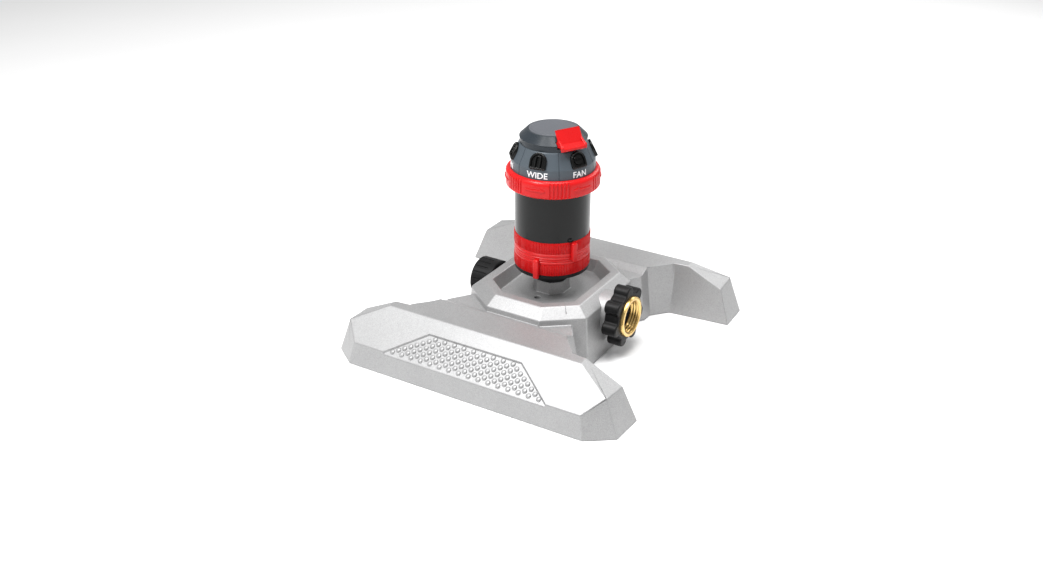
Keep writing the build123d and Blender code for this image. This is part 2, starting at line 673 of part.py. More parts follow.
def pinion_solid(index):
    """Pinion on one shaft, in mesh with the wheel before it or with the sun gear."""
    centre = shaft_centre(index)
    if index == 0:
        phase = meshing_phase(SUN_TEETH, OUTPUT_SHAFT_ANGLE, OUTPUT_TEETH, OUTPUT_SHAFT_ANGLE)
        return gear_solid(centre, OUTPUT_TEETH, SUN_MODULE, 0.75, 4.9, phase, PINION_Z[0])
    back = heading(shaft_centre(index - 1), centre)
    phase = meshing_phase(WHEEL_TEETH, back, PINION_TEETH, back)
    return gear_solid(centre, PINION_TEETH, WHEEL_MODULE, 0.45, 2.42, phase, PINION_Z[index])


for index, name in enumerate(["output_gear", "second_gear", "first_gear"]):
    centre = shaft_centre(index)
    length = (PINION_Z[index][0], WHEEL_Z[index][1])
    wheel_phase = heading(centre, shaft_centre(index + 1))
    with BuildPart() as gear:
        add(pinion_solid(index))
        add(gear_solid(centre, WHEEL_TEETH, WHEEL_MODULE, 0.4, 6.6, wheel_phase, WHEEL_Z[index]))
        add(column(centre, HUB_RADIUS, length))
        add(column(centre, SHAFT_RADIUS + RUNNING_GAP, length), mode=Mode.SUBTRACT)
    save(gear.part, name)

TURBINE_CENTRE = shaft_centre(3)
TURBINE_Z = (119.6, 125.0)
with BuildPart() as turbine:
    # Bladed rotor above the gear cover, with the first pinion of the train below it.
    add(pinion_solid(3))
    add(column(TURBINE_CENTRE, HUB_RADIUS, (PINION_Z[3][0], TURBINE_Z[1])))
    add(column(TURBINE_CENTRE, 7.6, (TURBINE_Z[0], TURBINE_Z[0] + 0.8)))
    with BuildSketch(Plane((TURBINE_CENTRE.X, TURBINE_CENTRE.Y, TURBINE_Z[0]))):
        with PolarLocations(4.8, 10):
            Rectangle(5.6, 0.8)
    extrude(amount=TURBINE_Z[1] - TURBINE_Z[0])
    shaft_hole = column(TURBINE_CENTRE, SHAFT_RADIUS + RUNNING_GAP, (PINION_Z[3][0], TURBINE_Z[1]))
    add(shaft_hole, mode=Mode.SUBTRACT)
save(turbine.part, "turbine")

with BuildPart() as gear_shafts:
    for index in range(4):
        centre = shaft_centre(index)
        top = TURBINE_Z[1] + 1 if index == 3 else COVER_Z[1]
        with BuildSketch(Plane((centre.X, centre.Y, FLOOR_Z[0] + 0.4))):
            Circle(SHAFT_RADIUS)
        extrude(amount=top - FLOOR_Z[0] - 0.4)
save(gear_shafts.part, "gear_shafts")

# ---------------------------------------------------------------- turret shell

SHELL_BORE = SHELL_RADIUS - SHELL_WALL
with BuildPart() as turret_shell:
    # Black barrel with a floor that bears on the spindle, and a pointer at its foot.
    with BuildSketch(turret_level(SHELL_Z[0])):
        Circle(SHELL_RADIUS)
        Circle(SHELL_BORE, mode=Mode.SUBTRACT)
    extrude(amount=SHELL_Z[1] - SHELL_Z[0])
    with BuildSketch(turret_level(FLOOR_Z[0])):
        Circle(SHELL_BORE + 0.5)
    extrude(amount=FLOOR_Z[1] - FLOOR_Z[0])
    with BuildSketch(turret_level(FLOOR_Z[0] - 3)):
        Circle(12.0)
    extrude(amount=FLOOR_Z[1] - FLOOR_Z[0] + 4)
    with BuildSketch(turret_level(SHELL_Z[0])):
        Circle(SPINDLE_RADIUS + RUNNING_GAP)
    extrude(amount=20, mode=Mode.SUBTRACT)
    with BuildSketch(turret_level(SHELL_Z[1])):
        Circle(27.4)
        Circle(SHELL_BORE - 1.0, mode=Mode.SUBTRACT)
    extrude(amount=3)
    with BuildSketch(turret_side(-33.0)):
        Polygon((SHELL_RADIUS - 1, 91.2), (SHELL_RADIUS + 1.6, 91.2), (SHELL_RADIUS - 1, 95.4), align=None)
    extrude(amount=1.6, both=True)
    for index in range(4):
        centre = shaft_centre(index)
        with BuildSketch(Plane((centre.X, centre.Y, FLOOR_Z[0] + 0.4))):
            Circle(SHAFT_RADIUS)
        extrude(amount=10, mode=Mode.SUBTRACT)
save(turret_shell.part, "turret_shell")

with BuildPart() as gear_cover:
    # Plate over the gears that holds the tops of the shafts.
    with BuildSketch(turret_level(COVER_Z[0])):
        Circle(SHELL_BORE)
        Circle(SPINDLE_RADIUS + 0.3, mode=Mode.SUBTRACT)
    extrude(amount=COVER_Z[1] - COVER_Z[0])
    for index in range(4):
        centre = shaft_centre(index)
        with BuildSketch(Plane((centre.X, centre.Y, COVER_Z[0] - 1))):
            Circle(SHAFT_RADIUS if index < 3 else 2.6)
        extrude(amount=10, mode=Mode.SUBTRACT)
save(gear_cover.part, "gear_cover")

TRIP_MIDDLE_ANGLE = (LOWER_TAB_ANGLE + UPPER_TAB_ANGLE) / 2 + 180
with BuildPart() as trip_ring:
    # Reversing ring under the floor; its finger hangs down between the sleeve and the rings.
    with BuildSketch(turret_level(91.4)):
        Circle(SHELL_BORE - 0.3)
        Circle(14.0, mode=Mode.SUBTRACT)
    extrude(amount=2.4)
    with BuildSketch(turret_side(TRIP_MIDDLE_ANGLE)):
        Polygon((SLEEVE_RADIUS + 0.45, 67.6), (RING_BORE - 1.4, 67.6), (RING_BORE - 1.4, 92),
                (SLEEVE_RADIUS + 0.45, 92), align=None)
    extrude(amount=1.6, both=True)
save(trip_ring.part, "trip_ring")

with BuildPart() as trip_spring:
    # Flat snap spring between the reversing ring and the floor.
    with BuildSketch(turret_level(94.1)):
        SlotArc(CenterArc((0, 0), 19, 200, 70, mode=Mode.PRIVATE), 1.0)
    extrude(amount=1.5)
save(trip_spring.part, "trip_spring")

# ---------------------------------------------------------------- nozzle head

DIAL_SLOPE = atan2(DIAL_SHOULDER[0] - DIAL_TOP[0], DIAL_TOP[1] - DIAL_SHOULDER[1])
NOZZLE_RADIUS = DIAL_SHOULDER[0] - (NOZZLE_Z - DIAL_SHOULDER[1]) * tan(DIAL_SLOPE)


def turn_profile(points):
    """Solid of revolution about the turret's axis from (radius, height) corners."""
    with BuildPart() as turned:
        with BuildSketch(SIDE_PLANE):
            Polygon(*points, align=None)
        revolve(axis=TURRET_AXIS)
    return turned.part


def nozzle_plane(angle):
    """Plane on the dial's cone at a nozzle: local x goes round, local y goes up the cone."""
    out = Vector(cos(radians(angle)), sin(radians(angle)), 0)
    normal = out * cos(DIAL_SLOPE) + Vector(0, 0, 1) * sin(DIAL_SLOPE)
    around = Vector(0, 0, 1).cross(out)
    centre = Vector(TURRET_X, 0, NOZZLE_Z) + out * NOZZLE_RADIUS
    return Plane(centre, x_dir=around, z_dir=normal)


def nozzle_outline(plane):
    """Arched outline of a nozzle insert, flat at its foot."""
    with BuildSketch(plane) as outline:
        Rectangle(2 * NOZZLE_HALF_WIDTH, NOZZLE_HEIGHT)
        fillet(outline.vertices().group_by(Axis.Y)[-1], NOZZLE_HALF_WIDTH - 0.4)
    return outline.sketch


with BuildPart() as port_core:
    # Plate that closes the shell, with a column and the spout that feeds one nozzle.
    with BuildSketch(turret_level(HEAD_PLATE_Z[0])):
        Circle(SHELL_BORE)
    extrude(amount=HEAD_PLATE_Z[1] - HEAD_PLATE_Z[0])
    with BuildSketch(turret_level(HEAD_PLATE_Z[1])):
        Circle(11.0)
    extrude(amount=164.0 - HEAD_PLATE_Z[1])
    with BuildSketch(turret_level(HEAD_PLATE_Z[0])):
        Circle(8.2)
    extrude(amount=160.0 - HEAD_PLATE_Z[0], mode=Mode.SUBTRACT)
    spout = Vector(cos(radians(ACTIVE_NOZZLE_ANGLE)), sin(radians(ACTIVE_NOZZLE_ANGLE)), 0)
    spout_start = Vector(TURRET_X, 0, NOZZLE_Z - 2) + spout * 9.5
    with BuildSketch(Plane(spout_start, z_dir=spout)):
        Circle(4.6)
    extrude(amount=11.4)
    with BuildSketch(Plane(spout_start - spout * 3, z_dir=spout)):
        Circle(3.2)
    extrude(amount=20, mode=Mode.SUBTRACT)
    with BuildSketch(turret_level(158.0)):
        Circle(1.7)
    extrude(amount=8, mode=Mode.SUBTRACT)
save(port_core.part, "port_core")

head_seal = ring_solid(turret_level(HEAD_PLATE_Z[1] + 0.1), SHELL_BORE - 0.1, SHELL_BORE - 2.3, 0.8)
save(head_seal, "head_seal")

inner_top = DIAL_TOP[0] - 2.6
with BuildPart() as spray_dial:
    # Conical dial that carries the nozzles; its skirt turns on the shell's neck.
    dial_body = turn_profile([(27.4 + RUNNING_GAP, 131.3), (31.0, 131.3), (31.0, DIAL_BAND[1]), DIAL_BAND,
                              DIAL_SHOULDER, DIAL_TOP, (inner_top, DIAL_TOP[1]), (29.0, 150.0),
                              (29.4, DIAL_BAND[1]), (29.4, 135.6), (27.4 + RUNNING_GAP, 134.6)])
    add(dial_body)
    for index in range(NOZZLE_COUNT):
        plane = nozzle_plane(ACTIVE_NOZZLE_ANGLE + index * 360 / NOZZLE_COUNT)
        extrude(nozzle_outline(plane), amount=12, both=True, mode=Mode.SUBTRACT)
save(spray_dial.part, "spray_dial")


def cut_pattern(kind):
    """Cut one spray pattern's opening in the face of a nozzle insert."""
    if kind == "jet":
        Circle(1.6)
    elif kind == "cone":
        Circle(3.4)
        Circle(2.2, mode=Mode.SUBTRACT)
    elif kind == "fan":
        Rectangle(1.6, 7.2)
    elif kind == "flat":
        Rectangle(7.6, 1.4)
    elif kind == "mist":
        with PolarLocations(2.6, 6):
            Circle(0.55)
    else:
        with GridLocations(2.6, 2.6, 3, 3):
            Circle(0.6)


NOZZLE_KINDS = ["flat", "cone", "jet", "mist", "shower", "fan"]
for index, kind in enumerate(NOZZLE_KINDS):
    plane = nozzle_plane(ACTIVE_NOZZLE_ANGLE + index * 360 / NOZZLE_COUNT)
    with BuildPart() as nozzle:
        extrude(nozzle_outline(plane.offset(-4.6)), amount=4.6 + NOZZLE_PROUD)
        with BuildSketch(plane.offset(NOZZLE_PROUD)):
            cut_pattern(kind)
        extrude(amount=-3.0, mode=Mode.SUBTRACT)
        with BuildSketch(plane.offset(-5)):
            Circle(1.5)
        extrude(amount=6, mode=Mode.SUBTRACT)
    save(nozzle.part, f"nozzle_{kind}")

selector_low, selector_high = SELECTOR_Z
selector_bore = DIAL_BAND[0] + 0.05
selector_ring = turn_profile([(29.3, selector_low), (34.6, selector_low),
                              (SELECTOR_RADIUS, selector_low + 1.2), (SELECTOR_RADIUS, selector_high - 1.0),
                              (35.2, selector_high),
                              (selector_bore, selector_high), (selector_bore, DIAL_BAND[1]),
                              (31.0, DIAL_BAND[1]), (31.0, selector_low + 2.2), (29.3, selector_low + 2.2)])
save(selector_ring, "selector_ring")

flap_out = turret_side(FLAP_ANGLE)
flap_outwards = Vector(cos(radians(FLAP_ANGLE)), sin(radians(FLAP_ANGLE)), 0)
flap_across = Vector(0, 0, 1).cross(flap_outwards)
flap_near = -(CAP_BAND_RADIUS + 0.6)
flap_far = -(FLAP_LIP[0] + 0.1)
with BuildPart() as top_cap:
    # Crowned cap on the column, with a notch whose side walls hold the flap's pin.
    crown_r, crown_z = CAP_CROWN
    cap_body = turn_profile([(1.7, 164.0), (11.0, 164.0), (11.0, 168.6), (22.4, 166.6), (22.4, 162.2),
                             (CAP_BAND_RADIUS, 162.2), (CAP_BAND_RADIUS, 166.0), CAP_EDGE, CAP_CROWN,
                             (DISC_RADIUS + 0.1, crown_z), (DISC_RADIUS + 0.1, DISC_Z[0]), (1.7, DISC_Z[0])])
    add(cap_body)
    with BuildSketch(flap_out):
        Polygon((19.2, 164.5), (34, 164.5), (34, 180), (16.2, 180), (21.3, 171.1), (19.2, 168.0), align=None)
    extrude(amount=FLAP_WIDTH / 2 + FLAP_SIDE_GAP, both=True, mode=Mode.SUBTRACT)
    with BuildSketch(flap_out):
        with Locations(FLAP_PIN):
            Circle(FLAP_PIN_RADIUS)
    extrude(amount=FLAP_PIN_HALF_LENGTH, both=True, mode=Mode.SUBTRACT)
save(top_cap.part, "top_cap")

with BuildPart() as cap_disc:
    with BuildSketch(turret_level(DISC_Z[0])):
        Circle(DISC_RADIUS)
    extrude(amount=DISC_Z[1] - DISC_Z[0])
    chamfer(cap_disc.edges().group_by(Axis.Z)[-1], 0.5)
    with BuildSketch(turret_level(DISC_Z[0])):
        Circle(3.6)
    extrude(amount=1.0, mode=Mode.SUBTRACT)
save(cap_disc.part, "cap_disc")

with BuildPart() as cap_screw:
    with BuildSketch(turret_level(161.0)):
        Circle(1.7)
    extrude(amount=DISC_Z[0] - 161.0)
    with BuildSketch(turret_level(DISC_Z[0])):
        Circle(3.2)
    extrude(amount=0.9)
save(cap_screw.part, "cap_screw")

with BuildPart() as spray_flap:
    # Deflector: a back plate to push with the thumb, a shelf that dips into the spray, and two gussets.
    with BuildSketch(flap_out):
        Polygon((19.9, 167.6), (22.0, 170.6), (18.13, 177.35), (19.6, 178.2), FLAP_ELBOW, FLAP_LIP,
                (FLAP_LIP[0], 164.2), (28.7, 164.2), (28.5, 165.3), (25.2, 166.4), (22.0, 165.1), align=None)
        with Locations(FLAP_PIN):
            Circle(FLAP_BARREL_RADIUS)
            Circle(FLAP_PIN_RADIUS + RUNNING_GAP, mode=Mode.SUBTRACT)
    extrude(amount=FLAP_LIP_WIDTH / 2, both=True)
    for gusset_start in (-FLAP_LIP_WIDTH / 2, FLAP_LIP_WIDTH / 2 - FLAP_GUSSET - 1):
        with BuildSketch(flap_out.offset(gusset_start)):
            Polygon(FLAP_ELBOW, (23.5, 171.5), (FLAP_LIP[0], FLAP_LIP[1] + 1.2), FLAP_LIP, align=None)
        extrude(amount=FLAP_GUSSET + 1)
    with BuildSketch(Plane((TURRET_X, 0, 160), x_dir=flap_across, z_dir=flap_outwards)) as front:
        Rectangle(FLAP_LIP_WIDTH, 18.3, align=(Align.CENTER, Align.MIN))
        fillet(front.vertices().group_by(Axis.Y)[-1], FLAP_CORNER)
    extrude(amount=40, mode=Mode.INTERSECT)
    with BuildSketch(Plane((TURRET_X, 0, 160), x_dir=flap_across, z_dir=(0, 0, 1))):
        Polygon((-FLAP_WIDTH / 2, 0), (FLAP_WIDTH / 2, 0), (FLAP_WIDTH / 2, flap_near),
                (FLAP_LIP_WIDTH / 2, flap_far), (-FLAP_LIP_WIDTH / 2, flap_far), (-FLAP_WIDTH / 2, flap_near),
                align=None)
    extrude(amount=30, mode=Mode.INTERSECT)
save(spray_flap.part, "spray_flap")

with BuildPart() as flap_pin:
    with BuildSketch(flap_out):
        with Locations(FLAP_PIN):
            Circle(FLAP_PIN_RADIUS)
    extrude(amount=FLAP_PIN_HALF_LENGTH, both=True)
save(flap_pin.part, "flap_pin")
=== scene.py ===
import json
from math import asin, atan2, ceil, cos, degrees, pi, radians, sin, tau

import bmesh
import bpy
from mathutils import Matrix, Vector


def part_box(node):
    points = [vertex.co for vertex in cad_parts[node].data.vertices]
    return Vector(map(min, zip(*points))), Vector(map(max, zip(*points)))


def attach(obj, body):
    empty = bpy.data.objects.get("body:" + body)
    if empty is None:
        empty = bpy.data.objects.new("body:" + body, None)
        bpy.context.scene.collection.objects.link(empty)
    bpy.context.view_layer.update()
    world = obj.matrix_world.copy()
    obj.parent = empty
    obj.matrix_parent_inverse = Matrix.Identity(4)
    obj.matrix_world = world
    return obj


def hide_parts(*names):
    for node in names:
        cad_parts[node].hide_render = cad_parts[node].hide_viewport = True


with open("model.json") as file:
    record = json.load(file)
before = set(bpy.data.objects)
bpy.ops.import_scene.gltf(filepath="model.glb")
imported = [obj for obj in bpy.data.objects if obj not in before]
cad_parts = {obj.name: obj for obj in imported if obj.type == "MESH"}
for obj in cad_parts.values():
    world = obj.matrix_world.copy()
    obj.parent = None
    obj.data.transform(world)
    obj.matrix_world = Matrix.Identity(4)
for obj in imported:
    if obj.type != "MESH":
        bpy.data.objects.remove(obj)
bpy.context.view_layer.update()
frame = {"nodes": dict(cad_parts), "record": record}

MM = 0.001
nodes = frame["nodes"]


# ---------------------------------------------------------------- where things are, read from the frame

def low(node):
    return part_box(node)[0]


def high(node):
    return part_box(node)[1]


def middle(node):
    return (low(node) + high(node)) / 2


TURRET = Vector((middle("turret_shell").x, middle("turret_shell").y, 0))
HOSE_Z = middle("inlet_bush").z
PANEL_ANGLE = -52.2
NOZZLE_ANGLE = -22.2


# ---------------------------------------------------------------- materials

def new_material(name):
    """Empty node tree with a shader and its output."""
    material = bpy.data.materials.new(name)
    material.use_nodes = True
    tree = material.node_tree
    tree.nodes.clear()
    output = tree.nodes.new("ShaderNodeOutputMaterial")
    shader = tree.nodes.new("ShaderNodeBsdfPrincipled")
    tree.links.new(shader.outputs["BSDF"], output.inputs["Surface"])
    return material, tree, shader


def texture(tree, kind, scale, stretch=(1, 1, 1), detail=2.0):
    """Noise or cell texture in the piece's own coordinates."""
    coords = tree.nodes.new("ShaderNodeTexCoord")
    mapping = tree.nodes.new("ShaderNodeMapping")
    mapping.inputs["Scale"].default_value = stretch
    node = tree.nodes.new(kind)
    node.inputs["Scale"].default_value = scale
    if kind == "ShaderNodeTexNoise":
        node.inputs["Detail"].default_value = detail
    tree.links.new(coords.outputs["Object"], mapping.inputs["Vector"])
    tree.links.new(mapping.outputs["Vector"], node.inputs["Vector"])
    return node


def ramp(tree, source, low_value, high_value, start=0.3, end=0.7):
    """Map a grey value onto a range."""
    node = tree.nodes.new("ShaderNodeMapRange")
    node.inputs["From Min"].default_value = start
    node.inputs["From Max"].default_value = end
    node.inputs["To Min"].default_value = low_value
    node.inputs["To Max"].default_value = high_value
    tree.links.new(source, node.inputs["Value"])
    return node.outputs["Result"]


def blend_colours(tree, factor, first, second):
    node = tree.nodes.new("ShaderNodeMix")
    node.data_type = "RGBA"
    node.inputs["A"].default_value = (*first, 1)
    node.inputs["B"].default_value = (*second, 1)
    tree.links.new(factor, node.inputs["Factor"])
    return node.outputs["Result"]


def add_bump(tree, shader, height, strength, distance, base=None):
    node = tree.nodes.new("ShaderNodeBump")
    node.inputs["Strength"].default_value = strength
    node.inputs["Distance"].default_value = distance
    tree.links.new(height, node.inputs["Height"])
    if base is not None:
        tree.links.new(base, node.inputs["Normal"])
    tree.links.new(node.outputs["Normal"], shader.inputs["Normal"])
    return node.outputs["Normal"]


def silver_paint():
    """Satin metallic paint over cast metal: fine flakes, a slight cast unevenness and cloudy tone."""
    material, tree, shader = new_material("silver_paint")
    flakes = texture(tree, "ShaderNodeTexVoronoi", 2600)
    cloud = texture(tree, "ShaderNodeTexNoise", 34, detail=4)
    skin = texture(tree, "ShaderNodeTexNoise", 420, detail=3)
    flake_tone = ramp(tree, flakes.outputs["Color"], 0.0, 1.0, 0.0, 1.0)
    cloud_tone = ramp(tree, cloud.outputs["Fac"], 0.0, 1.0)
    base = blend_colours(tree, flake_tone, (0.30, 0.30, 0.302), (0.44, 0.44, 0.442))
    mixed = tree.nodes.new("ShaderNodeMix")
    mixed.data_type = "RGBA"
    mixed.blend_type = "MULTIPLY"
    mixed.inputs["Factor"].default_value = 1.0
    tree.links.new(base, mixed.inputs["A"])
    tree.links.new(blend_colours(tree, cloud_tone, (0.94, 0.94, 0.94), (1.0, 1.0, 1.0)), mixed.inputs["B"])
    tree.links.new(mixed.outputs["Result"], shader.inputs["Base Color"])
    tree.links.new(ramp(tree, flakes.outputs["Distance"], 0.42, 0.54, 0.0, 0.8), shader.inputs["Roughness"])
    shader.inputs["Metallic"].default_value = 0.6
    shader.inputs["Coat Weight"].default_value = 0.08
    shader.inputs["Coat Roughness"].default_value = 0.25
    normal = add_bump(tree, shader, skin.outputs["Fac"], 0.10, 0.0002)
    add_bump(tree, shader, flakes.outputs["Distance"], 0.10, 0.00006, normal)
    return material


def plastic(name, colour, roughness, grain=900, depth=0.05, tint=0.12, coat=0.0, mottle=45):
    """Moulded plastic: a slight tone change, an uneven gloss and a fine moulded grain."""
    material, tree, shader = new_material(name)
    tone = texture(tree, "ShaderNodeTexNoise", mottle, detail=3)
    fine = texture(tree, "ShaderNodeTexNoise", grain, detail=2)
    darker = tuple(c * (1 - tint) for c in colour)
    lighter = tuple(min(1.0, c * (1 + tint)) for c in colour)
    tree.links.new(blend_colours(tree, ramp(tree, tone.outputs["Fac"], 0, 1), darker, lighter),
                   shader.inputs["Base Color"])
    gloss = ramp(tree, fine.outputs["Fac"], roughness * 0.85, roughness * 1.2)
    tree.links.new(gloss, shader.inputs["Roughness"])
    shader.inputs["Coat Weight"].default_value = coat
    shader.inputs["Coat Roughness"].default_value = 0.12
    shader.inputs["Specular IOR Level"].default_value = 0.24
    add_bump(tree, shader, fine.outputs["Fac"], depth, 0.0001)
    return material


def machined(name, dark, light, roughness, stretch):
    """Turned metal: fine tool lines across the axis, with gloss that follows them, and a patchy tone."""
    material, tree, shader = new_material(name)
    lines = texture(tree, "ShaderNodeTexNoise", 900, stretch=stretch, detail=4)
    stain = texture(tree, "ShaderNodeTexNoise", 120, detail=3)
    tree.links.new(blend_colours(tree, ramp(tree, stain.outputs["Fac"], 0, 1), dark, light),
                   shader.inputs["Base Color"])
    gloss = ramp(tree, lines.outputs["Fac"], roughness * 0.7, roughness * 1.4)
    tree.links.new(gloss, shader.inputs["Roughness"])
    shader.inputs["Metallic"].default_value = 1.0
    add_bump(tree, shader, lines.outputs["Fac"], 0.12, 0.00008)
    return material


def printed(name, colour):
    """Pad-printed ink, a little uneven."""
    return plastic(name, colour, 0.4, grain=1500, depth=0.02, tint=0.04)


def floor_paint():
    material, tree, shader = new_material("studio_floor")
    soft = texture(tree, "ShaderNodeTexNoise", 3, detail=2)
    tree.links.new(blend_colours(tree, ramp(tree, soft.outputs["Fac"], 0, 1), (0.90, 0.90, 0.90),
                                 (0.92, 0.92, 0.92)), shader.inputs["Base Color"])
    shader.inputs["Roughness"].default_value = 0.9
    shader.inputs["Specular IOR Level"].default_value = 0.0
    return material


SLOTS = {
    "silver_paint": silver_paint(),
    "red_plastic": plastic("red_plastic", (0.56, 0.007, 0.008), 0.30, grain=1100, depth=0.06, tint=0.06,
                           coat=0.05),
    "dial_plastic": plastic("dial_plastic", (0.066, 0.081, 0.095), 0.34, grain=1200, depth=0.05, tint=0.05),
    "cap_plastic": plastic("cap_plastic", (0.022, 0.028, 0.034), 0.30, grain=1200, depth=0.05, tint=0.06),
    "disc_plastic": plastic("disc_plastic", (0.085, 0.090, 0.101), 0.42, grain=1400, depth=0.06, tint=0.03),
    "black_gloss": plastic("black_gloss", (0.0035, 0.0038, 0.0038), 0.22, grain=1000, depth=0.03, tint=0.1),
    "black_matte": plastic("black_matte", (0.004, 0.004, 0.0043), 0.46, grain=800, depth=0.12, tint=0.12),
    "gear_plastic": plastic("gear_plastic", (0.74, 0.72, 0.66), 0.42, grain=900, depth=0.06, tint=0.03),
    "rubber": plastic("rubber", (0.012, 0.012, 0.012), 0.72, grain=500, depth=0.25, tint=0.15),
    "brass": machined("brass", (0.62, 0.40, 0.13), (0.80, 0.58, 0.24), 0.26, (14, 1, 1)),
    "steel": machined("steel", (0.52, 0.52, 0.54), (0.66, 0.66, 0.68), 0.3, (1, 1, 10)),
}
WHITE_INK = printed("white_ink", (0.86, 0.87, 0.88))


def slot_of(node):
    for entry in frame["record"]["subparts"]:
        if entry["node"] == node:
            return entry["material_slot"]


def body_of(node):
    for body, members in frame["record"]["behaviour"]["bodies"].items():
        if node in members:
            return body


for name, cad in nodes.items():
    cad.data.materials.clear()
    cad.data.materials.append(SLOTS[slot_of(name)])


# ---------------------------------------------------------------- mesh helpers

def finish_mesh(name, bm, sharp=35):
    """Make an object from a bmesh, with smooth faces and sharp edges over the given angle."""
    bmesh.ops.recalc_face_normals(bm, faces=bm.faces)
    mesh = bpy.data.meshes.new(name)
    bm.to_mesh(mesh)
    bm.free()
    mesh.shade_smooth()
    mesh.set_sharp_from_angle(angle=radians(sharp))
    piece = bpy.data.objects.new(name, mesh)
    bpy.context.scene.collection.objects.link(piece)
    return piece


def place(piece, node, material=None, replaces=()):
    """Ride on the node's body, take its slot, and stand for the nodes that it replaces."""
    piece.data.materials.clear()
    piece.data.materials.append(material or SLOTS[slot_of(node)])
    if replaces:
        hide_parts(*replaces)
    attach(piece, body_of(node))
    return piece


def turned(bm, outline, segments, carve=None, matrix=Matrix.Identity(4)):
    """Turn a closed outline of (radius, height) in millimetres about Z.

    carve(angle, index) gives how much is taken off the radius of outline point index at that angle, in mm.
    """
    rings = []
    for step in range(segments):
        angle = tau * step / segments
        ring = []
        for index, (radius, height) in enumerate(outline):
            cut = carve(degrees(angle), index) if carve else 0.0
            r = (radius - cut) * MM
            point = matrix @ Vector((r * cos(angle), r * sin(angle), height * MM))
            ring.append(bm.verts.new(point))
        rings.append(ring)
    count = len(outline)
    for step in range(segments):
        this_ring, next_ring = rings[step], rings[(step + 1) % segments]
        for index in range(count):
            after = (index + 1) % count
            bm.faces.new((this_ring[index], next_ring[index], next_ring[after], this_ring[after]))


def turret_matrix(angle=0.0):
    """Turret axis frame, turned so that +X points outwards at the given angle."""
    return Matrix.Translation(TURRET) @ Matrix.Rotation(radians(angle), 4, "Z")


def box_into(bm, lowest, highest, matrix, bevel=0.0, segments=3):
    """Rounded block between two corners in millimetres."""
    size = [(b - a) * MM for a, b in zip(lowest, highest)]
    centre = [(a + b) / 2 * MM for a, b in zip(lowest, highest)]
    block = bmesh.new()
    bmesh.ops.create_cube(block, size=1.0)
    bmesh.ops.scale(block, vec=size, verts=block.verts)
    if bevel:
        bmesh.ops.bevel(block, geom=block.edges, offset=bevel * MM, segments=segments, profile=0.5,
                        affect="EDGES")
    bmesh.ops.translate(block, vec=centre, verts=block.verts)
    bmesh.ops.transform(block, matrix=matrix, verts=block.verts)
    join(bm, block)


def join(bm, other):
    """Copy one bmesh into another."""
    spare = bpy.data.meshes.new("spare")
    other.to_mesh(spare)
    other.free()
    bm.from_mesh(spare)
    bpy.data.meshes.remove(spare)


SAME_POINT = 2e-6
FLAT_ANGLE = 0.6


def softened(name, node, width, angle=24, small=0.3, sharp=40):
    """Copy of a CAD node with its hard edges rounded; short edges on curves get a smaller rounding."""
    bm = bmesh.new()
    bm.from_mesh(nodes[node].data)
    bmesh.ops.remove_doubles(bm, verts=bm.verts, dist=SAME_POINT)
    bmesh.ops.dissolve_limit(bm, angle_limit=radians(FLAT_ANGLE), verts=bm.verts, edges=bm.edges)
    layer = bm.edges.layers.float.new("bevel_weight_edge")
    for edge in bm.edges:
        if not edge.is_manifold or edge.calc_face_angle(0) < radians(angle):
            continue
        long_enough = edge.calc_length() > 6 * width * MM
        edge[layer] = 1.0 if long_enough else small
    piece = finish_mesh(name, bm, sharp)
    if "custom_normal" in piece.data.attributes:
        piece.data.attributes.remove(piece.data.attributes["custom_normal"])
    bevel = piece.modifiers.new("rounding", "BEVEL")
    bevel.limit_method = "WEIGHT"
    bevel.width = width * MM
    bevel.segments = 3
    bevel.use_clamp_overlap = False
    bevel.harden_normals = False
    weighted = piece.modifiers.new("even shading", "WEIGHTED_NORMAL")
    weighted.keep_sharp = True
    depsgraph = bpy.context.evaluated_depsgraph_get()
    final = bpy.data.meshes.new_from_object(piece.evaluated_get(depsgraph))
    piece.modifiers.clear()
    piece.data = final
    return place(piece, node, replaces=(node,))


# ---------------------------------------------------------------- sled

softened("cast_sled", "base_casting", 0.8, angle=9, small=0.35, sharp=60)

RIDGE = (95.4, 41.8)
LIP = (122.6, 18.06)
TREAD_TOP = (40.2, 12.6)
TREAD_FOOT = (70.2, 35.9)
TREAD_DEPTH = 1.3
STUD_PITCH = 8.5
STUD_ROW = 2.69
STUD_RADIUS = 1.9


def stud_into(bm, matrix, x, s):
    """Low domed stud standing in the tread pocket."""
    outline = ((STUD_RADIUS + 0.25, -0.2), (STUD_RADIUS, 0.5), (STUD_RADIUS - 0.35, 0.95),
               (STUD_RADIUS - 1.1, 1.2))
    rings = []
    for radius, height in outline:
        ring = []
        for step in range(12):
            angle = tau * step / 12
            point = Vector((x + radius * cos(angle), s + radius * sin(angle), height)) * MM
            ring.append(bm.verts.new(matrix @ point))
        rings.append(ring)
    for lower, upper in zip(rings, rings[1:]):
        for step in range(12):
            after = (step + 1) % 12
            bm.faces.new((lower[step], lower[after], upper[after], upper[step]))
    bm.faces.new(rings[-1])
    bm.faces.new(tuple(reversed(rings[0])))


def tread_matrix(side):
    """Frame on the floor of a tread pocket: X along the pad, Y down the slope, Z outwards."""
    down = Vector((0, side * (LIP[0] - RIDGE[0]), LIP[1] - RIDGE[1])).normalized()
    along = Vector((side, 0, 0))
    outwards = along.cross(down)
    origin = Vector((0, side * RIDGE[0], RIDGE[1])) * MM - outwards * TREAD_DEPTH * MM
    matrix = Matrix((along, down, outwards)).transposed().to_4x4()
    matrix.translation = origin
    return matrix


